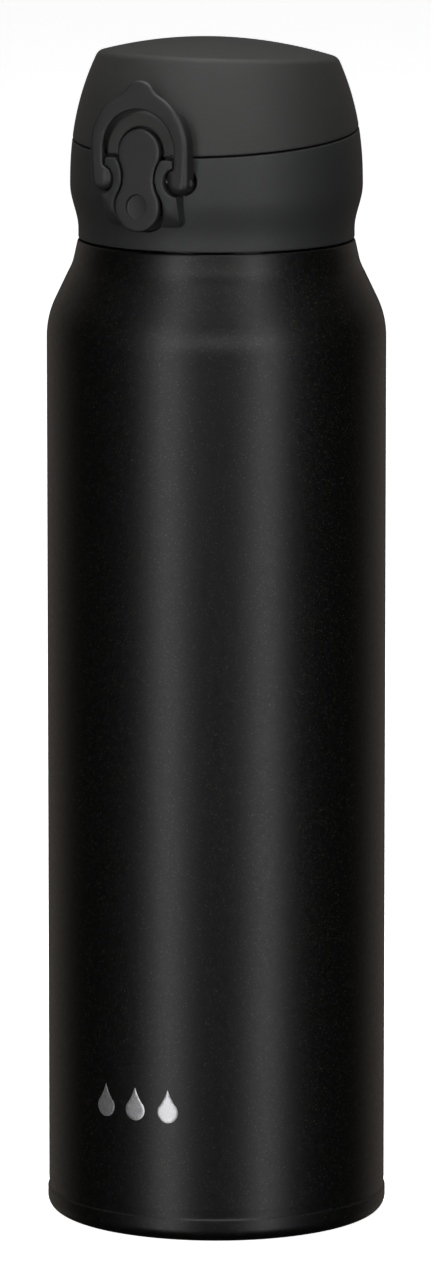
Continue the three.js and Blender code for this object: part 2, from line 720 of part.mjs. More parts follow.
function mechanism() {
  const group = new THREE.Group();
  group.position.set(0, -PIVOT.depth, PIVOT.z);
  group.add(
    piece("release_lever", releaseLever(), greyPlastic),
    piece("lock_ring", lockRing(), greyPlastic),
    piece("lever_pin", rod(PIVOT.pin, 0, 0, -PIVOT.pinHalf, PIVOT.pinHalf), bareSteel),
    piece("lever_spring", coil(1.5, 0.22, 4, 0.65), bareSteel),
  );
  return group;
}

function capUnit() {
  const group = new THREE.Group();
  group.position.z = BODY.seamZ;
  const pinHalf = HINGE.earHalf - 0.3;
  group.add(
    piece("cap_body", capBody(), greyPlastic),
    piece("body_seal", bodySeal(), silicone),
    piece("spout", spout(), blackPlastic, [0, SPOUT.y, 0]),
    piece("spout_gasket", tube(SPOUT.stub + GAP, 11.7, 16, 17, 32), silicone, [0, SPOUT.y, 0]),
    piece("hinge_pin", rod(HINGE.pin, 0, 0, -pinHalf, pinHalf), bareSteel, [0, HINGE.y, HINGE.z]),
    piece("hinge_spring", coil(1.6, 0.25, 5, 0.7), bareSteel, [0, HINGE.y, HINGE.z]),
    mechanism(),
    lid(),
  );
  return group;
}

const flask = new THREE.Group();
flask.add(bottle(), capUnit());

export default flask;
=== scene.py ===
import math
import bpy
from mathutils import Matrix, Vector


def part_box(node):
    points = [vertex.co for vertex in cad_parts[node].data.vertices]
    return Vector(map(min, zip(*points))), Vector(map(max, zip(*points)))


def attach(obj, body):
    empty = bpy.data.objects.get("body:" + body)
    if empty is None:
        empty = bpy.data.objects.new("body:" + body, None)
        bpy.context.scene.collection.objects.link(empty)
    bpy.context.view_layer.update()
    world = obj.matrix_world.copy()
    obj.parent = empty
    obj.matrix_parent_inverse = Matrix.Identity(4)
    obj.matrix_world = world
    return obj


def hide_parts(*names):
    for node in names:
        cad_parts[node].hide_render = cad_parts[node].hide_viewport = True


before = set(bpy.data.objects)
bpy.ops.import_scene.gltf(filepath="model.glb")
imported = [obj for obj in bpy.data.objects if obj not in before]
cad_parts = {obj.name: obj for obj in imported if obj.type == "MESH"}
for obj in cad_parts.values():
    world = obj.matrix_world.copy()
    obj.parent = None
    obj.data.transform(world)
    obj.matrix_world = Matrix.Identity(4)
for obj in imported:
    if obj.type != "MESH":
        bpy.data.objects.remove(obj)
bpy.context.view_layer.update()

from types import SimpleNamespace as Sizes

import bmesh
import bpy
from mathutils import Matrix, Vector
from mathutils.geometry import delaunay_2d_cdt

# The looks of the vacuum flask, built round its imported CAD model. Sizes are millimetres until a mesh is made.
MM = 0.001
SIDES = 224  # sides of a large turned piece
SMALL_SIDES = 48  # sides of a pin
GAP = 0.3  # clearance between neighbouring pieces
BURIED = 0.6  # how far a plate that stands on a wall reaches into it

BODY = Sizes(radius=36.5, edge_z=191.5, seam_radius=29.75, wall=0.6)
FOOT = Sizes(radius=36.74, shelf_z=4.9, shelf=0.42, taper=0.12, taper_z=7.1, round=3.0, shell_end=-78)
BASE = Sizes(hole=1.2, dimple=7, dimple_z=3.4, plate=28.9, plate_z=1.6, foot=33.8, sheet=0.8)
BASE_DISC = Sizes(inner=9, outer=28.4, low=0.7, high=1.3)
BEAD = Sizes(radius=2.6, low=1.9, high=3.1)
SHOULDER = Sizes(round=18.6, slope=25.6, cone_end_z=205.2, neck_slope=0.22, end_z=208.5)
SHOULDER_INSIDE = ((31.3, 204.8), (34.2, 198.9))
NECK = Sizes(radius=25.4, rim_z=228.4, lip=0.6)
VESSEL = Sizes(radius=34.2, wall=0.5, round=5, floor_z=6.5, shoulder_z=189, neck_radius=22.9)
THREAD = Sizes(pitch=5, height=1, width=1.5, bottle_z=216, bottle_turns=1.25, cap_height=1.05, cap_turns=1)
MARK = Sizes(z=28.3, drop=2.3, pitch=7.6, turn=1.4, proud=0.04, buried=0.05)

# Heights in the cap unit are counted from the seam, which lies just under the cap body.
CAP = Sizes(bottom=0.4, bottom_radius=29.65, skirt=2.4, widest=11.7, radius=31.4, bore=26.75, inside=28.4,
            deck=17.3, deck_wall=1.8)
SEAM_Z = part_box("cap_body")[0].z / MM - CAP.bottom
PLUG = Sizes(radius=20.6, wall=1.6, bottom=9.5)
SEAL = Sizes(low=10, lip=0.6, waist=1.6, second=2, second_lip=3, high=3.6, groove=0.5, clearance=0.25)
SPLIT = Sizes(z=22.95, slope=0.0774, gap=0.2)
LID = Sizes(edge=39.65, tilt=1.5, edge_drop=5.73, power=2.3, crown=3.7, round=1.0, wall=1.8)
LINER = Sizes(outset=2.25, wall=1.2, plate=33.4, thick=1.2, rise=1.6)
SPOUT = Sizes(y=-7, flange=16, stub=10, base=(13, 9), lip=(11, 7), hole=(7.5, 4.2), top=31.5)
AIR_HOLE = Sizes(radius=1.1, y=6.6)
SPOUT_GASKET = Sizes(radius=11.7, low=16, high=17)
VALVE_PAD = Sizes(low=(10.6, 6.8), high=(12.2, 8.2))
HINGE = Sizes(y=31.5, z=25, pin=0.9, knuckle=2.5, ear=2.6, inner=2.2, lid_half=5.6, ear_half=10.4)

# The lever, the ring and their seat are drawn from the front about their pin: across, up, depth towards -Y.
PIVOT = Sizes(depth=31, z=15.6, pin=0.9, hole=1.1, pin_half=11.7)
LEVER = Sizes(top=5, top_z=5.9, foot=5.3, foot_z=-5.5, waist=6.65, top_face=32.7, face=33.95, thick=1.5,
              seat=0.45)
HUB = Sizes(radius=2, inner=1.9, outer=3.2)
NOSE = Sizes(half=2.3, low=7.6, high=9.9, back=30)
NOTCH = Sizes(half=2.9, low=2.4, high=10.2)
DIMPLE = Sizes(radius=2.6, depth=0.8, tilt=11)
RIM = Sizes(outer=8.4, inner=5.4, face=32.0)
RING = Sizes(inner=8.75, outer=11.9, arch_z=6.4, rise=0.8, back=29.8, face=33.4, lean_z=14.5, top_z=21.2,
             tab=4.0, tab_hollow=4)
LOBE = Sizes(x=9.1, radius=2.7, ball=2.75, clearance=0.35, fillet=1.0)
EAR = Sizes(half=8.3, foot_half=9.2, top_z=4.6, bottom_z=-9.8, slope_z=-5.0, face=33.6, crown=80)
SEAT_DEPTH = 28.7
FRONT_SPRING = Sizes(radius=1.5, wire=0.22, turns=4, pitch=0.65)
REAR_SPRING = Sizes(radius=1.6, wire=0.25, turns=5, pitch=0.7)
# How far forward the lid's wall and the lid's rim reach as the lid opens, at heights from the lever's pin.
WALL_PATH = ((-5, 31.8), (10, 31.6), (15.5, 31.2), (24, 30.3))
RIM_PATH = ((9.5, 32.45), (15.3, 32.15), (18.4, 31.8), (23, 31.1))
RING_LEAN = ((RING.lean_z, RING.face), (22.5, 32.4))

STUDIO = Sizes(reach=10500, shell=100, below=50, ceiling_round=4000, floor_round=1500)
# The camera's angles are degrees. Its distance and the height that it aims at are metres, as for the lights.
CAMERA = Sizes(azimuth=30, elevation=9.4, distance=1.943, target=0.1252, lens=253)


# ---- small geometry
def smoothstep(value, low, high):
    """A smooth rise from 0 at the low value to 1 at the high one."""
    t = min(1.0, max(0.0, (value - low) / (high - low)))
    return t * t * (3 - 2 * t)


def between(value, points):
    """The value of a piecewise line through (at, value) points."""
    for (a, low), (b, high) in zip(points, points[1:]):
        if value <= b:
            return low + (high - low) * max(0.0, (value - a) / (b - a))
    return points[-1][1]


def arc(x, y, radius, start, end, steps=12):
    """Points on an arc about (x, y), between two angles in degrees."""
    turns = [math.radians(start + (end - start) * i / steps) for i in range(steps + 1)]
    return [(x + radius * math.cos(t), y + radius * math.sin(t)) for t in turns]


def curve(a, corner, b, steps):
    """Points on a quadratic curve from a to b that heads for the corner."""
    points = []
    for i in range(steps + 1):
        t = i / steps
        weights = ((1 - t) ** 2, 2 * t * (1 - t), t * t)
        points.append(tuple(sum(w * c for w, c in zip(weights, spot)) for spot in zip(a, corner, b)))
    return points


def rounded(path, closed=True, steps=4):
    """A path of (x, y) or (x, y, corner radius) points, with its corners rounded."""
    made = []
    for i, (x, y, *radius) in enumerate(path):
        end = not closed and i in (0, len(path) - 1)
        if end or not radius:
            made.append((x, y))
            continue
        here = Vector((x, y))
        before = Vector(path[i - 1][:2]) - here
        after = Vector(path[(i + 1) % len(path)][:2]) - here
        half = before.angle(after) / 2
        cut = min(radius[0] / math.tan(half), before.length * 0.49, after.length * 0.49)
        made += curve(here + before.normalized() * cut, here, here + after.normalized() * cut, steps)
    return made


def ellipse(angle, sizes):
    """Radius at an angle from the front of an oval with these half widths across and deep."""
    across, deep = sizes
    return across * deep / math.hypot(across * math.cos(angle), deep * math.sin(angle))


# ---- meshes
def lathe(profile_at, sides=SIDES):
    """A turned mesh. profile_at(angle) gives (radius, height) points up the outside and down the inside."""
    verts = []
    faces = []
    for i in range(sides):
        angle = 2 * math.pi * i / sides
        row = profile_at(angle)
        verts += [(r * math.sin(angle), -r * math.cos(angle), z) for r, z in row]
    count = len(row)
    on_axis = row[0][0] == 0
    for i in range(sides):
        here = i * count
        after = (i + 1) % sides * count
        for j in range(count - 1 if on_axis else count):
            k = (j + 1) % count
            faces.append((here + j, after + j, after + k, here + k))
    return verts, faces


def inset(outline, distance):
    """The outline moved inwards at each point by its own distance, or outwards where that is negative."""
    made = []
    for i, (x, y) in enumerate(outline):
        before = Vector((x, y)) - Vector(outline[i - 1])
        after = Vector(outline[(i + 1) % len(outline)]) - Vector((x, y))
        before.normalize()
        after.normalize()
        left = Vector((-before.y - after.y, before.x + after.x))
        left /= max(0.6, 1 + before.dot(after))
        made.append((x + left.x * distance[i], y + left.y * distance[i]))
    return made


def fill(outline, spacing):
    """Points inside an outline, so that a curved face stays smooth, and the triangles that cover it."""
    xs = [p[0] for p in outline]
    ys = [p[1] for p in outline]
    loose = []
    for i in range(int((max(xs) - min(xs)) / spacing)):
        for j in range(int((max(ys) - min(ys)) / spacing)):
            spot = Vector((min(xs) + (i + 0.7) * spacing, min(ys) + (j + 0.7) * spacing))
            crossings = 0
            clear = True
            for a, b in zip(outline, outline[1:] + outline[:1]):
                if (a[1] > spot.y) != (b[1] > spot.y):
                    crossings += spot.x < a[0] + (b[0] - a[0]) * (spot.y - a[1]) / (b[1] - a[1])
                clear = clear and (spot - Vector(a)).length > spacing * 0.5
            if crossings % 2 and clear:
                loose.append(spot)
    points = [Vector(p) for p in outline] + loose
    made = delaunay_2d_cdt(points, [], [list(range(len(outline)))], 1, 1e-6)
    count = len(outline)
    extra = []
    index = []
    for spot, where in zip(made[0], made[3]):
        if where and where[0] < count:
            index.append(where[0])
        else:
            index.append(count + len(extra))
            extra.append(spot)
    return extra, [[index[v] for v in face] for face in made[2]]


def slab(outline, low, high, edge, place, foot=None, spacing=0.9, steps=5):
    """
    A plate with rounded edges. Its faces lie at low(u, v) and high(u, v), and place(u, v, w) puts a point in
    space. With a foot radius the low face is a wall that the plate stands on, and its side flares to meet it.
    """
    low_at = low if callable(low) else lambda u, v: low
    high_at = high if callable(high) else lambda u, v: high
    edge_at = edge if callable(edge) else lambda u, v: edge
    loops = []
    radii = [min(edge_at(u, v), 0.49 * (high_at(u, v) - low_at(u, v))) for u, v in outline]
    quarter = [math.radians(90 * i / steps) for i in range(steps + 1)]
    if foot:
        buried = inset(outline, [-foot] * len(outline))
        loops.append([(u, v, low_at(u, v) - BURIED) for u, v in buried])
        for t in quarter:
            loop = inset(outline, [-foot * (1 - math.sin(t))] * len(outline))
            loops.append([(u, v, low_at(u, v) + foot * (1 - math.cos(t))) for u, v in loop])
    else:
        for t in reversed(quarter):
            loop = inset(outline, [r * (1 - math.cos(t)) for r in radii])
            loops.append([(u, v, low_at(u, v) + r * (1 - math.sin(t))) for (u, v), r in zip(loop, radii)])
    for t in quarter:
        loop = inset(outline, [r * (1 - math.cos(t)) for r in radii])
        loops.append([(u, v, high_at(u, v) - r * (1 - math.sin(t))) for (u, v), r in zip(loop, radii)])
    count = len(outline)
    verts = [place(*p) for loop in loops for p in loop]
    faces = []
    for i in range(len(loops) - 1):
        for j in range(count):
            k = (j + 1) % count
            faces.append((i * count + j, i * count + k, (i + 1) * count + k, (i + 1) * count + j))
    last = (len(loops) - 1) * count
    for loop, first, face_at, flip in ((loops[0], 0, low_at, True), (loops[-1], last, high_at, False)):
        points, triangles = fill([p[:2] for p in loop], spacing)
        sunk = BURIED if flip and foot else 0
        inner = len(verts) - count
        verts += [place(p.x, p.y, face_at(p.x, p.y) - sunk) for p in points]
        for triangle in triangles:
            corners = [v + first if v < count else v + inner for v in triangle]
            faces.append(corners[::-1] if flip else corners)
    return verts, faces


def ridge(wall, height, start, turns, first_turn=0):
    """A right-hand screw ridge on a wall, fading out at both ends. A negative height points inwards."""
    steps = round(turns * 128)
    half = THREAD.width / 2
    verts = []
    for i in range(steps + 1):
        angle = 2 * math.pi * (first_turn + i / 128)
        z = start + THREAD.pitch * i / 128
        tall = height * min(1, i / 13, (steps - i) / 13)
        root = wall - math.copysign(GAP, height)
        turns_of_crest = [math.radians(a) for a in range(-90, 91, 30)]
        crest = [(wall + tall * math.cos(t), half * math.sin(t)) for t in turns_of_crest]
        section = [(root, -half)] + crest + [(root, half)]
        verts += [(r * math.sin(angle), -r * math.cos(angle), z + dz) for r, dz in section]
    count = len(section)
    faces = [list(range(count)), [steps * count + j for j in reversed(range(count))]]
    for i in range(steps):
        for j in range(count):
            k = (j + 1) % count
            faces.append([i * count + j, (i + 1) * count + j, (i + 1) * count + k, i * count + k])
    return verts, faces


def coil(spring, sides=10):
    """A coil of round wire about the X axis."""
    steps = spring.turns * 32
    length = spring.turns * spring.pitch
    section = arc(0, 0, spring.wire, 0, 360, sides)[:-1]
    verts = []
    for i in range(steps + 1):
        angle = 2 * math.pi * spring.turns * i / steps
        out = Vector((0, math.cos(angle), math.sin(angle)))
        centre = out * spring.radius + Vector((length * (i / steps - 0.5), 0, 0))
        verts += [centre + out * a + Vector((b, 0, 0)) for a, b in section]
    faces = [list(range(sides))[::-1], [steps * sides + j for j in range(sides)]]
    for i in range(steps):
        for j in range(sides):
            here = i * sides
            k = (j + 1) % sides
            faces.append([here + j, here + k, here + sides + k, here + sides + j])
    return verts, faces


def rod(radius, start, end, y, z, bore=0, chamfer=0.2):
    """A round rod or sleeve along X at (y, z)."""
    if bore:
        profile = [(radius, start, chamfer), (radius, end, chamfer), (bore, end, 0.05), (bore, start, 0.05)]
    else:
        profile = [(0, start), (radius, start, chamfer), (radius, end, chamfer), (0, end)]
    path = rounded(profile, closed=bool(bore))
    verts, faces = lathe(lambda angle: path, SMALL_SIDES)
    turn = Matrix.Translation((0, y, z)) @ Matrix.Rotation(math.radians(90), 4, "Y")
    return [turn @ Vector(v) for v in verts], faces


def moved(made, y=0, z=0):
    """A mesh shifted along Y and Z."""
    verts, faces = made
    return [Vector(v) + Vector((0, y, z)) for v in verts], faces


def build(name, made, sharp=32):
    """A Blender object from (vertices in millimetres, faces), its faces pointing outwards."""
    verts, faces = made
    mesh = bpy.data.meshes.new(name)
    mesh.from_pydata([Vector(v) * MM for v in verts], [], faces)
    shape = bmesh.new()
    shape.from_mesh(mesh)
    bmesh.ops.remove_doubles(shape, verts=shape.verts, dist=1e-3 * MM)
    bmesh.ops.recalc_face_normals(shape, faces=shape.faces)
    shape.to_mesh(mesh)
    shape.free()
    mesh.shade_smooth()
    mesh.set_sharp_from_angle(angle=math.radians(sharp))
    obj = bpy.data.objects.new(name, mesh)
    bpy.context.scene.collection.objects.link(obj)
    return obj


def cut(obj, *cutters, sharp=32):
    """Cuts each (vertices, faces) solid out of an object."""
    tools = [build("cutter", made) for made in cutters]
    for tool in tools:
        boolean = obj.modifiers.new("cut", "BOOLEAN")
        boolean.object = tool
        boolean.operation = "DIFFERENCE"
        boolean.solver = "EXACT"
    depsgraph = bpy.context.evaluated_depsgraph_get()
    mesh = bpy.data.meshes.new_from_object(obj.evaluated_get(depsgraph))
    obj.modifiers.clear()
    obj.data = mesh
    mesh.shade_smooth()
    mesh.set_sharp_from_angle(angle=math.radians(sharp))
    for tool in tools:
        bpy.data.objects.remove(tool)


def piece(obj, material, body, slot, *nodes):
    """Gives an object its material and its body, and hides the CAD nodes that it stands for. The slot is not
    used.
    """
    obj.data.materials.clear()
    obj.data.materials.append(material)
    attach(obj, body)
    if nodes:
        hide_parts(*nodes)


# ---- materials
def new_material(name, colour, roughness, metallic=0.0, **sockets):
    """A Principled material, and its node tree and shader for the textures that follow."""
    material = bpy.data.materials.new(name)
    material.use_nodes = True
    tree = material.node_tree
    shader = tree.nodes["Principled BSDF"]
    shader.inputs["Base Color"].default_value = (*colour, 1)
    shader.inputs["Roughness"].default_value = roughness
    shader.inputs["Metallic"].default_value = metallic
    for socket, value in sockets.items():
        shader.inputs[socket.replace("_", " ")].default_value = value
    return material, tree, shader


def texture(tree, kind, scale, stretch=(1, 1, 1), **sockets):
    """A texture in object space. The scale counts features in a millimetre."""
    place = tree.nodes.new("ShaderNodeTexCoord")
    mapping = tree.nodes.new("ShaderNodeMapping")
    mapping.inputs["Scale"].default_value = [scale / MM * s for s in stretch]
    tree.links.new(place.outputs["Object"], mapping.inputs["Vector"])
    node = tree.nodes.new(kind)
    node.inputs["Scale"].default_value = 1
    for socket, value in sockets.items():
        node.inputs[socket].default_value = value
    tree.links.new(mapping.outputs["Vector"], node.inputs["Vector"])
    return node


def remap(tree, value, low, high, start=0.0, end=1.0):
    """A value between start and end turned into one between low and high."""
    node = tree.nodes.new("ShaderNodeMapRange")
    for socket, number in (("From Min", start), ("From Max", end), ("To Min", low), ("To Max", high)):
        node.inputs[socket].default_value = number
    tree.links.new(value, node.inputs["Value"])
    return node.outputs["Result"]


def shade(tree, shader, value, dark, light, start=0.0, end=1.0):
    """Colours the shader between two colours by a value."""
    ramp = tree.nodes.new("ShaderNodeValToRGB")
    ramp.color_ramp.elements[0].position = start
    ramp.color_ramp.elements[1].position = end
    ramp.color_ramp.elements[0].color = (*dark, 1)
    ramp.color_ramp.elements[1].color = (*light, 1)
    tree.links.new(value, ramp.inputs["Fac"])
    tree.links.new(ramp.outputs["Color"], shader.inputs["Base Color"])


def bump(tree, shader, height, distance, strength=1.0):
    """Bumps the surface by a height, whose full range is the distance in millimetres."""
    node = tree.nodes.new("ShaderNodeBump")
    node.inputs["Strength"].default_value = strength
    node.inputs["Distance"].default_value = distance * MM
    tree.links.new(height, node.inputs["Height"])
    tree.links.new(node.outputs["Normal"], shader.inputs["Normal"])


def flake_paint():
    """Satin black paint over steel: fine bright flakes and a faint orange peel."""
    material, tree, shader = new_material("flake_paint", (0.010, 0.0097, 0.009), 0.4, 0.35)
    flakes = texture(tree, "ShaderNodeTexVoronoi", 5.0)
    shade(tree, shader, flakes.outputs["Color"], (0.0011, 0.0010, 0.0008), (0.036, 0.034, 0.029), 0.78, 1.0)
    peel = texture(tree, "ShaderNodeTexNoise", 0.9, Detail=2.0)
    tree.links.new(remap(tree, peel.outputs["Fac"], 0.35, 0.41, 0.3, 0.7), shader.inputs["Roughness"])
    bump(tree, shader, flakes.outputs["Distance"], 0.012, 0.35)
    return material


def grained_plastic(name, colour, roughness, grain=2.6, depth=0.02):
    """Matte moulded plastic with a fine spark-eroded grain and slightly uneven tone."""
    material, tree, shader = new_material(name, colour, roughness)
    cloud = texture(tree, "ShaderNodeTexNoise", 0.12, Detail=4.0, Roughness=0.6)
    dark = [c * 0.93 for c in colour]
    light = [c * 1.07 for c in colour]
    shade(tree, shader, cloud.outputs["Fac"], dark, light, 0.35, 0.65)
    fine = texture(tree, "ShaderNodeTexNoise", grain, Detail=3.0, Roughness=0.65)
    gloss = remap(tree, fine.outputs["Fac"], roughness - 0.05, roughness + 0.07, 0.3, 0.7)
    tree.links.new(gloss, shader.inputs["Roughness"])
    bump(tree, shader, fine.outputs["Fac"], depth, 0.5)
    return material


def turned_steel(name, colour, roughness, stretch, lines=3.0):
    """Bare steel with fine drawn or turned lines that run along the unstretched directions."""
    material, tree, shader = new_material(name, colour, roughness, 1.0)
    grain = texture(tree, "ShaderNodeTexNoise", lines, stretch, Detail=4.0, Roughness=0.7)
    dark = [c * 0.85 for c in colour]
    light = [c * 1.1 for c in colour]
    shade(tree, shader, grain.outputs["Fac"], dark, light, 0.3, 0.7)
    gloss = remap(tree, grain.outputs["Fac"], roughness * 0.8, roughness * 1.3, 0.3, 0.7)
    tree.links.new(gloss, shader.inputs["Roughness"])
    bump(tree, shader, grain.outputs["Fac"], 0.006, 0.4)
    return material


def copper_foil():
    """Thin copper foil, creased where it wraps the inner vessel."""
    material, tree, shader = new_material("copper_foil_creased", (0.72, 0.36, 0.2), 0.28, 1.0)
    creases = texture(tree, "ShaderNodeTexVoronoi", 0.06, (1, 1, 0.35))
    shade(tree, shader, creases.outputs["Distance"], (0.6, 0.28, 0.15), (0.8, 0.43, 0.26), 0.0, 0.8)
    bump(tree, shader, creases.outputs["Distance"], 0.4, 0.6)
    return material


def soft_silicone():
    """Translucent grey silicone rubber with a dusty surface."""
    depth = {"Subsurface_Weight": 0.15, "Subsurface_Scale": 0.001}
    material, tree, shader = new_material("grey_silicone", (0.33, 0.335, 0.345), 0.62, **depth)
    dust = texture(tree, "ShaderNodeTexNoise", 0.7, Detail=5.0)
    shade(tree, shader, dust.outputs["Fac"], (0.29, 0.295, 0.305), (0.37, 0.375, 0.385), 0.3, 0.7)
    bump(tree, shader, dust.outputs["Fac"], 0.01, 0.4)
    return material


def silver_print():
    """Silver printing ink, slightly grainy."""
    material, tree, shader = new_material("silver_print", (0.45, 0.45, 0.46), 0.42, 0.85)
    grain = texture(tree, "ShaderNodeTexNoise", 3.0, Detail=3.0)
    shade(tree, shader, grain.outputs["Fac"], (0.38, 0.38, 0.39), (0.5, 0.5, 0.51), 0.3, 0.7)
    tree.links.new(remap(tree, grain.outputs["Fac"], 0.3, 0.46, 0.3, 0.7), shader.inputs["Roughness"])
    return material


def pale_floor():
    """The studio floor: pale, even and faintly mottled."""
    material, tree, shader = new_material("pale_floor", (0.86, 0.86, 0.86), 0.9, Emission_Strength=0.9)
    shader.inputs["Emission Color"].default_value = (1, 1, 1, 1)
    mottle = texture(tree, "ShaderNodeTexNoise", 0.004, Detail=2.0)
    shade(tree, shader, mottle.outputs["Fac"], (0.84, 0.84, 0.84), (0.88, 0.88, 0.88))
    return material


PAINT = flake_paint()
CAP_PLASTIC = grained_plastic("cap_grey", (0.0104, 0.0111, 0.0113), 0.6)
# The lid is the cap's plastic painted about half again lighter: painted light falling on the lid from above.
LID_PLASTIC_PAINTED_LIGHT = grained_plastic("lid_grey_painted_light", (0.0158, 0.0158, 0.0149), 0.64)
LEVER_PLASTIC = grained_plastic("lever_grey", (0.0095, 0.0096, 0.0100), 0.52, depth=0.012)
INNER_PLASTIC = grained_plastic("inner_black", (0.016, 0.016, 0.017), 0.4, depth=0.01)
STEEL = turned_steel("satin_steel", (0.55, 0.54, 0.52), 0.26, (0.15, 0.15, 1))
PIN_STEEL = turned_steel("pin_steel_drawn", (0.6, 0.59, 0.57), 0.22, (0.1, 1, 1), 6.0)
COPPER = copper_foil()
SILICONE = soft_silicone()
SILVER = silver_print()


# ---- bottle
def shoulder():
    """The outside from the body's top edge up to the neck: a round, a cone and a hollow round."""
    s = SHOULDER
    convex = arc(BODY.radius - s.round, BODY.edge_z, s.round, 0, s.slope, 10)
    start = convex[-1]
    cone_end = (start[0] - (s.cone_end_z - start[1]) * math.tan(math.radians(s.slope)), s.cone_end_z)
    neck = (BODY.seam_radius + (SEAM_Z - s.end_z) * s.neck_slope, s.end_z)
    corner = (neck[0] + 1.5 * s.neck_slope, s.end_z - 1.5)
    return convex + curve(cone_end, corner, neck, 8)


def bottle_shell():
    """The painted shell: a rounded foot, a fine shelf, the straight body, the shoulder and the ledge."""
    centre = FOOT.radius - FOOT.round
    inside = BODY.radius - BODY.wall
    outside = arc(centre, FOOT.round, FOOT.round, FOOT.shell_end, 0, 12)
    shelf = (BODY.radius - FOOT.taper, FOOT.shelf_z + FOOT.shelf, 0.08)
    outside += [(FOOT.radius, FOOT.shelf_z, 0.08), shelf]
    outside += [(BODY.radius, FOOT.taper_z, 0.5)] + shoulder()
    ledge = [(BODY.seam_radius, SEAM_Z, 0.7), (NECK.radius, SEAM_Z, 0.3), (NECK.radius, SEAM_Z - BODY.wall)]
    within = [(BODY.seam_radius - 1, SEAM_Z - BODY.wall - 0.2), *SHOULDER_INSIDE, (inside, BODY.edge_z)]
    within += [(inside, FOOT.round)] + arc(centre, FOOT.round, FOOT.round - BODY.wall, 0, FOOT.shell_end, 8)
    path = rounded(outside + ledge + within)
    piece(build("shell_paint", lathe(lambda angle: path)), PAINT, "bottle", "body_paint", "outer_shell")


def bottle_neck():
    """The bare steel neck and its screw ridge."""
    inside = NECK.radius - BODY.wall
    bottom = SEAM_Z - BODY.wall
    rim = [(NECK.radius, NECK.rim_z, 0.2), (inside, NECK.rim_z, 0.2)]
    path = rounded([(NECK.radius, bottom), *rim, (inside, bottom)])
    piece(build("neck_steel", lathe(lambda angle: path)), STEEL, "bottle", "bare_steel")
    thread = ridge(NECK.radius, THREAD.height, THREAD.bottle_z, THREAD.bottle_turns)
    piece(build("neck_thread", thread), STEEL, "bottle", "bare_steel")


def bottle_base():
    """The welded bottom: foot ring, raised plate and dimple, a plain disc and the bead in the dimple."""
    b = BASE
    path = rounded([
        (b.hole, b.dimple_z),
        (b.dimple, b.dimple_z, 0.8),
        (b.dimple + 1.5, b.plate_z, 0.8),
        (b.plate, b.plate_z, 0.8),
        (b.plate + 1.3, 0, 0.5),
        (b.foot, 0, 0.5),
        (b.foot + 0.7, 0.2, 0.2),
        (b.foot + 0.5, b.sheet + 0.1),
        (b.plate + 1.7, b.sheet + 0.1, 0.4),
        (b.plate + 0.4, b.plate_z + b.sheet, 0.6),
        (b.dimple + 1.8, b.plate_z + b.sheet, 0.6),
        (b.dimple + 0.3, b.dimple_z + b.sheet, 0.6),
        (b.hole, b.dimple_z + b.sheet),
    ])
    piece(build("foot_cup", lathe(lambda angle: path)), PAINT, "bottle", "body_paint", "base_cup")
    d = BASE_DISC
    disc = rounded([(d.outer, d.low, 0.15), (d.outer, d.high), (d.inner, d.high), (d.inner, d.low, 0.15)])
    obj = build("foot_disc", lathe(lambda angle: disc))
    piece(obj, INNER_PLASTIC, "bottle", "inner_plastic", "base_disc")
    low = [(0, BEAD.low), (BEAD.radius - 0.8, BEAD.low + 0.1, 0.4), (BEAD.radius, BEAD.low + 0.7, 0.3)]
    bead = rounded([*low, (BEAD.radius, BEAD.high), (0, BEAD.high)], closed=False)
    sealed = build("seal_bead", lathe(lambda angle: bead, SMALL_SIDES))
    piece(sealed, STEEL, "bottle", "bare_steel", "vacuum_seal_bead")


def vessel():
    """The steel liner that holds the drink, its lip rolled over the neck of the shell."""
    v = VESSEL
    lip = NECK.rim_z + GAP
    lip_top = lip + NECK.lip
    inside = v.neck_radius - v.wall
    corner = (v.radius - v.round, v.floor_z + v.round)
    path = [(0, v.floor_z)] + arc(*corner, v.round, -90, 0, 8)
    path += [(v.radius, v.shoulder_z, 6), (27, 205, 5), (v.neck_radius, 210, 3), (v.neck_radius, lip, 0.1)]
    path += [(NECK.radius, lip, 0.2), (NECK.radius, lip_top, 0.3), (inside, lip_top, 0.3)]
    path += [(inside, 209.7, 3), (26.4, 204.6, 5), (v.radius - v.wall, v.shoulder_z - 0.3, 6)]
    path += arc(*corner, v.round - v.wall, 0, -90, 8) + [(0, v.floor_z + v.wall)]
    liner = rounded(path, closed=False)
    piece(build("vessel_liner", lathe(lambda angle: liner)), STEEL, "bottle", "bare_steel", "inner_vessel")


def drop_outline(size):
    """A plain drop, its point at the top."""
    sides = arc(0, 0, size, 150, 390, 24)
    right = curve(sides[-1], (size * 0.35, size * 1.1), (0.05, size * 2.1), 8)
    left = curve((-0.05, size * 2.1), (-size * 0.35, size * 1.1), sides[0], 8)
    return sides + right[1:] + left[:-1]


def silver_mark():
    """A small generic mark on the front of the body: three plain drops."""
    radius = BODY.radius
    for number in (-1, 0, 1):
        shift = math.radians(MARK.turn) + number * MARK.pitch / radius

        def wrap(u, v, w, shift=shift):
            turn = u / radius + shift
            return w * math.sin(turn), -w * math.cos(turn), MARK.z + v

        outline = drop_outline(MARK.drop)
        made = slab(outline, radius - MARK.buried, radius + MARK.proud, 0.02, wrap, spacing=0.6, steps=2)
        piece(build(f"silver_mark_{number + 2}", made), SILVER, "bottle", "bare_steel")


# ---- cap unit
def cap_radius(z):
    """Outer radius of the cap and lid at a height: upright, an S, and a growing fall over the widest line."""
    if z < CAP.widest:
        return CAP.bottom_radius + (CAP.radius - CAP.bottom_radius) * smoothstep(z, CAP.skirt, CAP.widest)
    return CAP.radius - LID.edge_drop * ((z - CAP.widest) / (LID.edge - CAP.widest)) ** LID.power


def split_z(angle, radius):
    """Height of the split plane between the cap and the lid, lower at the front."""
    return SPLIT.z - SPLIT.slope * radius * math.cos(angle)


def wall_depth(u, v):
    """Depth of the cap's or the lid's outer wall behind a point of the front view."""
    return math.sqrt(cap_radius(PIVOT.z + v) ** 2 - u * u)


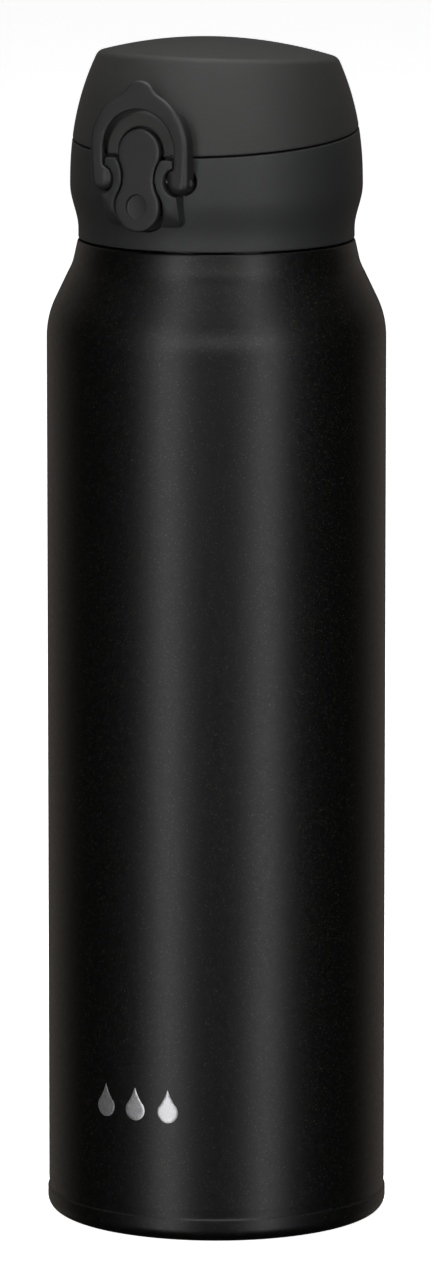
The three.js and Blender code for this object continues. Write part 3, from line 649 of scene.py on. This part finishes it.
def front(u, v, w):
    """A point of the front view: across, up from the lever's pin, depth towards -Y."""
    return u, -w, SEAM_Z + PIVOT.z + v


def side(u, v, w):
    """A point of the side view: towards the rear, up from the seam, depth towards +X."""
    return w, u, SEAM_Z + v


def hollow_between(low_z, low, high_z, high, hollow):
    """A hollow arc that touches two circles on the centre line: its centre, and the turns to it from each."""
    span = high_z - low_z
    along = ((hollow + low) ** 2 - (hollow + high) ** 2 + span ** 2) / (2 * span)
    across = math.sqrt((hollow + low) ** 2 - along ** 2)
    low_turn = math.degrees(math.atan2(along, across))
    high_turn = math.degrees(math.atan2(span - along, across))
    return across, low_z + along, low_turn, high_turn


def lever_outline(grow=0.0):
    """Two lobes joined by hollow arcs."""
    top = LEVER.top + grow
    foot = LEVER.foot + grow
    waist = LEVER.waist - grow
    across, up, foot_turn, top_turn = hollow_between(LEVER.foot_z, foot, LEVER.top_z, top, waist)
    outline = arc(0, LEVER.top_z, top, -top_turn, 180 + top_turn, 48)
    outline += arc(-across, up, waist, top_turn, -foot_turn, 20)[1:]
    outline += arc(0, LEVER.foot_z, foot, 180 - foot_turn, 360 + foot_turn, 52)[1:]
    return outline + arc(across, up, waist, 180 + foot_turn, 180 - top_turn, 20)[1:-1]


def lever_half(v, grow):
    """Half the width of the lever's outline at a height."""
    top = LEVER.top + grow
    foot = LEVER.foot + grow
    waist = LEVER.waist - grow
    across, up, foot_turn, top_turn = hollow_between(LEVER.foot_z, foot, LEVER.top_z, top, waist)
    if v > LEVER.top_z - top * math.sin(math.radians(top_turn)):
        return math.sqrt(top ** 2 - (v - LEVER.top_z) ** 2)
    if v < LEVER.foot_z + foot * math.sin(math.radians(foot_turn)):
        return math.sqrt(foot ** 2 - (v - LEVER.foot_z) ** 2)
    return across - math.sqrt(waist ** 2 - (v - up) ** 2)


def cap_profile(angle):
    """The cap body's section: the plug under the deck, skirt, outer wall, and the inside above the deck."""
    deck_top = CAP.deck + CAP.deck_wall
    top = split_z(angle, CAP.radius) - SPLIT.gap
    last = top - 1.2
    plug_inside = PLUG.radius - PLUG.wall
    path = [
        (0, CAP.deck),
        (plug_inside, CAP.deck, 0.6),
        (plug_inside, PLUG.bottom, 0.5),
        (PLUG.radius, PLUG.bottom, 0.5),
        (PLUG.radius, CAP.deck, 0.6),
        (CAP.bore, CAP.deck, 0.6),
        (CAP.bore, CAP.bottom, 0.5),
        (CAP.bottom_radius, CAP.bottom, 0.3),
    ]
    path += [(cap_radius(z), z) for z in [1.2 + (last - 1.2) * i / 24 for i in range(25)]]
    path += [(cap_radius(top), top, 0.35), (CAP.inside, split_z(angle, CAP.inside) - SPLIT.gap, 0.35)]
    path += [(CAP.inside, deck_top, 1.0), (0, deck_top)]
    return [(r, z + SEAM_Z) for r, z in rounded(path, closed=False)]


def lobe_pockets():
    """The hollows in the cap's wall for the ring's round ends."""
    grow = LOBE.clearance
    made = []
    for hand in (-1, 1):
        outline = arc(hand * LOBE.x, 0, LOBE.radius + grow, 0, 350, 35)
        made.append(slab(outline, PIVOT.depth - LOBE.radius - grow, PIVOT.depth + 4, 1.6, front))
    return made


def knuckle_room():
    """The room in the cap's rear for the lid's knuckles."""
    half = HINGE.lid_half + GAP
    return rod(HINGE.knuckle + 0.4, -half, half, HINGE.y, SEAM_Z + HINGE.z)


def cap_body():
    """The cap's body with its lever seat, the ring's pockets, the hinge gap and the hole for the spout."""
    body = build("cap_wall", lathe(cap_profile))
    seat = slab(lever_outline(0.5), SEAT_DEPTH, 40, 0.5, front)
    stub = [(0, 15), (SPOUT.stub + GAP, 15), (SPOUT.stub + GAP, 22), (0, 22)]
    hole = moved(lathe(lambda angle: stub, 96), y=SPOUT.y, z=SEAM_Z)
    axle = rod(PIVOT.hole, -10, 10, -PIVOT.depth, SEAM_Z + PIVOT.z)
    cut(body, seat, hole, knuckle_room(), axle, *lobe_pockets())
    piece(body, CAP_PLASTIC, "cap", "cap_plastic", "cap_body")
    first_turn = 0.2
    start = THREAD.bottle_z + THREAD.pitch * (first_turn - 0.5) + 0.15
    thread = ridge(CAP.bore, -THREAD.cap_height, start, THREAD.cap_turns, first_turn)
    piece(build("cap_thread", thread), CAP_PLASTIC, "cap", "cap_plastic")


def ear_face(u, v):
    """Depth of the ears' face: crowned across, and falling back to the wall at its foot."""
    crowned = EAR.face - EAR.crown + math.sqrt(EAR.crown ** 2 - u * u)
    low = wall_depth(u, v) + 0.8
    fall = smoothstep(v, EAR.bottom_z - 2, EAR.slope_z)
    return max(low + (crowned - low) * fall, low)


def ear_edge(u, v):
    """Radius of the ears' edges, soft beside the lever's lower lobe."""
    beside = 1 - smoothstep(math.hypot(u, v - LEVER.foot_z), LEVER.foot + 0.6, LEVER.foot + 1.0)
    return 0.3 + 0.6 * beside * (1 - smoothstep(v, -6, -2))


def ear_outline():
    """The right ear: along the lever's waist on the inside, hollowed round the ring's end on the outside."""
    grow = LEVER.seat
    hollow = LOBE.radius + LOBE.clearance
    lowest = EAR.bottom_z + 1.2
    highest = EAR.top_z - 1.0
    heights = [highest + (lowest - highest) * i / 32 for i in range(33)]
    inner = [(lever_half(v, grow), v) for v in heights]
    top_turn = math.degrees(math.acos((EAR.half - LOBE.x) / hollow))
    foot_turn = math.degrees(math.acos((EAR.foot_half - LOBE.x) / hollow))
    path = [(EAR.half, EAR.top_z, 0.8), (lever_half(EAR.top_z, grow) + 0.3, EAR.top_z, 0.6)] + inner
    path += [(lever_half(EAR.bottom_z, grow) + 0.3, EAR.bottom_z, 0.6), (EAR.foot_half, EAR.bottom_z, 2.0)]
    path += arc(LOBE.x, 0, hollow, 360 - foot_turn, top_turn, 24)
    return rounded(path)


def ears():
    """The two ears that carry the pin, beside the lever."""
    outline = ear_outline()
    right = slab(outline, wall_depth, ear_face, ear_edge, front, foot=0.2)
    left = [(-x, y, z) for x, y, z in right[0]], right[1]
    for name, made in (("cap_ear_right", right), ("cap_ear_left", left)):
        obj = build(name, made)
        cut(obj, rod(PIVOT.pin + 0.05, -12, 12, -PIVOT.depth, SEAM_Z + PIVOT.z))
        piece(obj, CAP_PLASTIC, "cap", "cap_plastic")


def hinge_block():
    """The rear block that carries the lid's pin, open in the middle for the lid's knuckles."""
    outline = [(27.5, 12), (30.6, 12, 0.8)] + arc(HINGE.y, HINGE.z, HINGE.ear, -14, 180, 30) + [(27.5, 22)]
    made = slab(rounded(outline), -HINGE.ear_half, HINGE.ear_half, 0.5, side)
    obj = build("cap_hinge_block", made)
    cut(obj, knuckle_room(), rod(HINGE.pin + 0.2, -12, 12, HINGE.y, SEAM_Z + HINGE.z))
    piece(obj, CAP_PLASTIC, "cap", "cap_plastic")


def spout():
    """The spout: an oval mouthpiece on a round flange with a stub through the deck, and its gasket."""
    flange = CAP.deck + CAP.deck_wall + GAP

    def profile(angle):
        lip = ellipse(angle, SPOUT.lip)
        base = ellipse(angle, SPOUT.base)
        hole = ellipse(angle, SPOUT.hole)
        path = [
            (hole, CAP.deck - 1.3, 0.3),
            (SPOUT.stub, CAP.deck - 1.3, 0.3),
            (SPOUT.stub, flange, 0.1),
            (SPOUT.flange, flange, 0.2),
            (SPOUT.flange, flange + 1.2, 0.5),
            (base, flange + 1.2, 1.2),
            (lip, SPOUT.top, 0.9),
            (hole, SPOUT.top, 0.9),
        ]
        return [(r, z + SEAM_Z) for r, z in rounded(path, steps=5)]

    obj = build("spout_mouthpiece", moved(lathe(profile, 128), y=SPOUT.y))
    air = [(0, 15), (AIR_HOLE.radius, 15), (AIR_HOLE.radius, 45), (0, 45)]
    cut(obj, moved(lathe(lambda angle: air, 24), y=SPOUT.y + AIR_HOLE.y, z=SEAM_Z))
    piece(obj, INNER_PLASTIC, "cap", "inner_plastic", "spout")
    g = SPOUT_GASKET
    corners = [(SPOUT.stub + GAP, g.low), (g.radius, g.low), (g.radius, g.high), (SPOUT.stub + GAP, g.high)]
    ring = rounded([(x, z, 0.3) for x, z in corners])
    gasket = build("spout_ring_gasket", moved(lathe(lambda angle: ring, 96), y=SPOUT.y, z=SEAM_Z))
    piece(gasket, SILICONE, "cap", "silicone", "spout_gasket")


def plug_seal():
    """The round seal on the plug: two soft lips."""
    inner = PLUG.radius + GAP
    lip = VESSEL.neck_radius - VESSEL.wall - SEAL.clearance
    groove = lip - SEAL.groove
    outside = [
        (groove, 0),
        (lip, SEAL.lip),
        (groove, SEAL.waist),
        (groove, SEAL.second),
        (lip, SEAL.second_lip),
        (groove, SEAL.high),
    ]
    outside = [(r, SEAL.low + z, 0.3) for r, z in outside]
    path = rounded([(inner, SEAL.low, 0.2), *outside, (inner, SEAL.low + SEAL.high, 0.2)])
    obj = build("plug_seal", moved(lathe(lambda angle: path), z=SEAM_Z))
    piece(obj, SILICONE, "seal", "silicone", "body_seal")


def pins_and_springs():
    """The two pins and their springs."""
    front_z = SEAM_Z + PIVOT.z
    rear_z = SEAM_Z + HINGE.z
    rear_half = HINGE.ear_half - GAP
    front_pin = rod(PIVOT.pin, -PIVOT.pin_half, PIVOT.pin_half, -PIVOT.depth, front_z, chamfer=0.3)
    rear_pin = rod(HINGE.pin, -rear_half, rear_half, HINGE.y, rear_z, chamfer=0.3)
    piece(build("pivot_pin", front_pin), PIN_STEEL, "cap", "pin_steel", "lever_pin")
    piece(build("hinge_axle", rear_pin), PIN_STEEL, "cap", "pin_steel", "hinge_pin")
    front_coil = moved(coil(FRONT_SPRING), y=-PIVOT.depth, z=front_z)
    rear_coil = moved(coil(REAR_SPRING), y=HINGE.y, z=rear_z)
    piece(build("pivot_coil", front_coil), PIN_STEEL, "cap", "pin_steel", "lever_spring")
    piece(build("hinge_coil", rear_coil), PIN_STEEL, "cap", "pin_steel", "hinge_spring")


# ---- lid
def lid_profile(angle):
    """The lid's section: ceiling and wall inside, split edge, wall, rounded edge and crown."""
    low = split_z(angle, CAP.radius) + SPLIT.gap
    edge = LID.edge + LID.tilt * math.cos(angle)
    edge_radius = cap_radius(edge)
    wall_top = edge - LID.round
    ceiling = edge - LID.wall
    inside_low = split_z(angle, CAP.radius - LID.wall) + SPLIT.gap

    def top_z(radius):
        out = radius / edge_radius
        return LID.edge + LID.tilt * math.cos(angle) * out + LID.crown * (1 - out * out)

    def within(z):
        return cap_radius(z) - LID.wall - 0.15

    path = [(0, LID.edge + LID.crown - LID.wall - 0.4), (within(ceiling), ceiling, 2.0)]
    inside_top = ceiling - 3
    inside_fall = inside_top - 1.2 - inside_low
    path += [(within(z), z) for z in [inside_top - inside_fall * i / 6 for i in range(7)]]
    path += [(within(inside_low), inside_low, 0.3), (cap_radius(low), low, 0.35)]
    wall_low = low + 1.2
    path += [(cap_radius(z), z) for z in [wall_low + (wall_top - wall_low) * i / 20 for i in range(20)]]
    start = edge_radius - LID.round
    path += curve((cap_radius(wall_top), wall_top), (edge_radius, edge), (start, top_z(start)), 8)
    path += [(start * (1 - i / 16), top_z(start * (1 - i / 16))) for i in range(1, 17)]
    return [(max(r, 0), z + SEAM_Z) for r, z in rounded(path, closed=False)]


def upright_box(sizes):
    """An upright rectangle about the centre line of the front view."""
    half = sizes.half
    return [(-half, sizes.low), (half, sizes.low), (half, sizes.high), (-half, sizes.high)]


def lid_cover():
    """The lid's shell, cut clear of the cap's hinge ears and of the lever's nose."""
    z = SEAM_Z + HINGE.z
    obj = build("lid_dome", lathe(lid_profile))
    relief = rod(HINGE.ear + 0.45, -HINGE.ear_half - 0.4, HINGE.ear_half + 0.4, HINGE.y, z)
    notch = slab(upright_box(NOTCH), 29.5, 36, 0.2, front)
    cut(obj, relief, notch)
    piece(obj, LID_PLASTIC_PAINTED_LIGHT, "lid", "lid_plastic", "lid_cover")


def rim_arch():
    """The half ring on the lid that frames the lever's upper lobe."""
    lowest = split_z(0, RIM.face) + SPLIT.gap - PIVOT.z
    centre = LEVER.top_z
    outer_turn = math.degrees(math.asin((lowest - centre) / RIM.outer))
    inner_turn = math.degrees(math.asin((lowest - centre) / RIM.inner))
    outer = arc(0, centre, RIM.outer, outer_turn, 180 - outer_turn, 56)
    inner = arc(0, centre, RIM.inner, 180 - inner_turn, inner_turn, 40)
    outline = []
    for side_arc in (outer, inner):
        outline += [(*side_arc[0], 0.3), *side_arc[1:-1], (*side_arc[-1], 0.3)]
    obj = build("lid_rim", slab(rounded(outline), wall_depth, RIM.face, 0.6, front, foot=0.3))
    piece(obj, LID_PLASTIC_PAINTED_LIGHT, "lid", "lid_plastic")


def lid_knuckles():
    """The knuckles on the lid's rear wall, either side of the spring."""
    h = HINGE
    outline = [(28.2, h.z + 0.75), (h.y - 1, h.z + 0.75)]
    outline += arc(h.y, h.z, h.knuckle, 180, 450, 36) + [(27.6, h.z + 5)]
    ends = (("lid_knuckle_right", h.inner, h.lid_half), ("lid_knuckle_left", -h.lid_half, -h.inner))
    for name, low, high in ends:
        obj = build(name, slab(outline, low, high, 0.35, side))
        cut(obj, rod(h.pin + 0.2, -8, 8, h.y, SEAM_Z + h.z))
        piece(obj, LID_PLASTIC_PAINTED_LIGHT, "lid", "lid_plastic")


def lid_lining():
    """The black lining inside the lid, and the soft pad that closes the spout."""
    top = LINER.plate + LINER.thick

    def outer(z):
        return cap_radius(z) - LINER.outset

    def profile(angle):
        low = split_z(angle, CAP.radius) + LINER.rise
        heights = [low + (top - low) * i / 8 for i in range(9)]
        path = [(0, LINER.plate), (outer(LINER.plate) - LINER.wall, LINER.plate, 1.5)]
        path += [(outer(z) - LINER.wall, z) for z in reversed(heights[1:7])]
        path += [(outer(low) - LINER.wall, low, 0.4), (outer(low), low, 0.4)]
        path += [(outer(z), z) for z in heights[1:8]] + [(outer(top), top, 0.4), (0, top)]
        return [(r, z + SEAM_Z) for r, z in rounded(path, closed=False)]

    obj = build("lid_lining", lathe(profile))
    piece(obj, INNER_PLASTIC, "lid", "inner_plastic", "lid_liner")

    def pad(angle):
        low = ellipse(angle, VALVE_PAD.low)
        high = ellipse(angle, VALVE_PAD.high)
        bottom = SPOUT.top + GAP
        top_z = LINER.plate - GAP
        path = [(0, bottom), (low, bottom, 0.5), (high, top_z, 0.3), (0, top_z)]
        return [(r, z + SEAM_Z) for r, z in rounded(path, closed=False)]

    gasket = build("valve_pad", moved(lathe(pad, 96), y=SPOUT.y))
    piece(gasket, SILICONE, "lid", "silicone", "valve_gasket")


# ---- lever and ring
def lever():
    """The release lever: a plate with a recess for a fingertip, hubs on the pin and a nose inside the lid."""

    def face(u, v):
        return between(v, [(LEVER.foot_z, LEVER.face), (LEVER.top_z + LEVER.top, LEVER.top_face)])

    def back(u, v):
        return face(u, v) - LEVER.thick

    plate = build("lever_plate", slab(lever_outline(), back, face, 0.4, front))
    profile = rounded([(0, 0), (DIMPLE.radius, 0, 0.25), (DIMPLE.radius, 4), (0, 4)], closed=False)
    verts, faces = lathe(lambda angle: profile, 72)
    tilt = Matrix.Rotation(math.radians(90 - DIMPLE.tilt), 4, "X")
    middle = Vector(front(0, LEVER.foot_z, LEVER.face - DIMPLE.depth))
    cut(plate, ([tilt @ Vector(v) + middle for v in verts], faces))
    piece(plate, LEVER_PLASTIC, "lever", "lever_plastic", "release_lever")
    z = SEAM_Z + PIVOT.z
    ends = (("lever_hub_right", HUB.inner, HUB.outer), ("lever_hub_left", -HUB.outer, -HUB.inner))
    for name, start, end in ends:
        hub = build(name, rod(HUB.radius, start, end, -PIVOT.depth, z, bore=PIVOT.hole))
        piece(hub, LEVER_PLASTIC, "lever", "lever_plastic")
    reach = LEVER.top_face - LEVER.thick + 0.5
    nose = build("lever_nose", slab(upright_box(NOSE), NOSE.back, reach, 0.3, front))
    piece(nose, LEVER_PLASTIC, "lever", "lever_plastic")


def ring_outline():
    """The lock ring from the front: an arch with a rounded tab, on legs whose round ends point inwards."""
    r = RING
    fillet_z = math.sqrt((LOBE.radius + LOBE.fillet) ** 2 - (LOBE.x - r.inner + LOBE.fillet) ** 2)
    fillet_x = r.inner - LOBE.fillet
    curl = math.degrees(math.atan2(fillet_z, LOBE.x - fillet_x))
    tab_z = r.top_z - r.tab
    outer_z = r.arch_z + r.rise
    across, up, arch_turn, tab_turn = hollow_between(outer_z, r.outer, tab_z, r.tab, r.tab_hollow)
    right = arc(LOBE.x, 0, LOBE.radius, 180 - curl, 360, 36)
    right += arc(0, outer_z, r.outer, 0, arch_turn, 24)
    right += arc(across, up, r.tab_hollow, 180 + arch_turn, 180 - tab_turn, 10)[1:]
    right += arc(0, tab_z, r.tab, -tab_turn, 90, 14)[1:]
    inner = arc(0, r.arch_z, r.inner, 90, 0, 30)
    inner += arc(fillet_x, fillet_z, LOBE.fillet, 0, -curl, 10)
    mirrored = [(-x, y) for x, y in reversed(right)]
    inner_left = [(-x, y) for x, y in reversed(inner)]
    return right[:-1] + mirrored + inner_left[1:-1] + inner[:-1]


def lobe_depth(u, v):
    """How far the ring's round ends reach from the pin: a ball on the inside, round about the pin outside."""
    inside = min(0, abs(u) - LOBE.x)
    return math.sqrt(max(0.36, LOBE.ball ** 2 - inside ** 2 - v * v))


def ring_face(u, v):
    """Depth of the ring's front: upright, leaning back at the tab, and round at its ends."""
    upright = between(v, RING_LEAN)
    if v > LOBE.ball:
        return upright
    return min(PIVOT.depth + lobe_depth(u, min(v, 0)), upright)


def ring_back(u, v):
    """Depth of the ring's back: clear of the paths of the lid and of the lid's rim, and round at its ends."""
    back = max(RING.back, math.sqrt(max(0, between(v, WALL_PATH) ** 2 - u * u)))
    inner = (1 - smoothstep(abs(u), 8.9, 9.9)) * smoothstep(v, 4, 6)
    back += max(0, between(v, RIM_PATH) - back) * inner
    if v > LOBE.ball:
        return back
    end = PIVOT.depth - lobe_depth(u, v)
    leg = smoothstep(abs(u), 8.3, 9.4) if v > 0 else 0
    return max(end, RING.back - 1) * (1 - leg) + back * leg


def ring_edge(u, v):
    """Radius of the ring's edges: soft outside, softer still at its ends, and crisper inside."""
    outside = smoothstep(math.hypot(u, max(0, v - RING.arch_z)), 9.5, 11)
    return 0.35 + outside * (0.55 + 0.4 * (1 - smoothstep(v, 0, 5)))


def ring():
    """The lock ring on its pin."""
    obj = build("lock_ring_band", slab(ring_outline(), ring_back, ring_face, ring_edge, front, spacing=0.8))
    cut(obj, rod(PIVOT.pin + 0.1, -20, 20, -PIVOT.depth, SEAM_Z + PIVOT.z))
    piece(obj, LEVER_PLASTIC, "ring", "lever_plastic", "lock_ring")


# ---- carried-over nodes, studio
def dress(name, material):
    """Gives a CAD node that stays its finished material."""
    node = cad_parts[name]
    node.data.materials.clear()
    node.data.materials.append(material)


def floor():
    """A pale studio floor that curves up to a wall and a ceiling far away from the flask."""
    s = STUDIO
    outer = s.reach + s.shell
    outside = [(0, -s.below), (outer, -s.below), (outer, outer), (0, outer)]
    inside = [(0, s.reach), (s.reach, s.reach, s.ceiling_round), (s.reach, 0, s.floor_round), (0, 0)]
    path = rounded(outside + inside, closed=False, steps=16)
    obj = build("studio_floor", lathe(lambda angle: path, 96), sharp=60)
    obj.data.materials.append(pale_floor())
    obj.visible_glossy = False
    obj.visible_diffuse = False
    obj.visible_shadow = False


def light(name, turn, distance, height, size, power, aim_z, colour=(1, 1, 1)):
    """A soft box at a turn from the camera's side, facing a height on the flask's axis."""
    data = bpy.data.lights.new(name, "AREA")
    data.shape = "RECTANGLE"
    data.size, data.size_y = size
    data.energy = power
    data.color = colour
    obj = bpy.data.objects.new(name, data)
    angle = math.radians(CAMERA.azimuth + turn)
    obj.location = (distance * math.sin(angle), -distance * math.cos(angle), height)
    aim = Vector((0, 0, aim_z)) - Vector(obj.location)
    obj.rotation_mode = "QUATERNION"
    obj.rotation_quaternion = aim.to_track_quat("-Z", "Y")
    obj.visible_camera = False
    bpy.context.scene.collection.objects.link(obj)


def camera():
    """A long lens, a little above the flask and to the right of its front."""
    data = bpy.data.cameras.new("camera")
    data.lens = CAMERA.lens
    data.sensor_width = 36
    data.clip_end = 100
    obj = bpy.data.objects.new("camera", data)
    azimuth = math.radians(CAMERA.azimuth)
    elevation = math.radians(CAMERA.elevation)
    level = math.cos(elevation)
    back = Vector((math.sin(azimuth) * level, -math.cos(azimuth) * level, math.sin(elevation)))
    obj.location = Vector((0, 0, CAMERA.target)) + back * CAMERA.distance
    obj.rotation_mode = "QUATERNION"
    obj.rotation_quaternion = (-back).to_track_quat("-Z", "Y")
    bpy.context.scene.collection.objects.link(obj)
    bpy.context.scene.camera = obj


def studio():
    """Two tall soft boxes and a wide strip in front, two behind, one overhead, and a dim even surround."""
    world = bpy.data.worlds.new("surround")
    world.use_nodes = True
    background = world.node_tree.nodes["Background"]
    background.inputs["Color"].default_value = (0.95, 0.97, 1.0, 1)
    background.inputs["Strength"].default_value = 0.012
    bpy.context.scene.world = world
    bpy.context.scene.view_settings.view_transform = "Standard"
    light("front_left", -33, 1.3, 0.5, (0.30, 2.6), 11.5, 0.45)
    light("front_right", 33, 1.3, 0.5, (0.30, 2.6), 11, 0.45)
    light("high_front", 0, 1.3, 0.47, (1.8, 0.12), 4.5, 0.2)
    light("rear_left", -142, 1.4, 0.15, (1.1, 1.9), 1.3, 0.1, (1, 0.88, 0.78))
    light("rear_right", 142, 1.4, 0.15, (1.1, 1.9), 1.3, 0.1, (1, 0.88, 0.78))
    light("overhead", 0, 0.05, 1.5, (1.3, 1.3), 20, 0.1)


bottle_shell()
bottle_neck()
bottle_base()
vessel()
silver_mark()
cap_body()
ears()
hinge_block()
spout()
plug_seal()
pins_and_springs()
lid_cover()
rim_arch()
lid_knuckles()
lid_lining()
lever()
ring()
dress("heat_foil", COPPER)
dress("getter", STEEL)
floor()
camera()
studio()
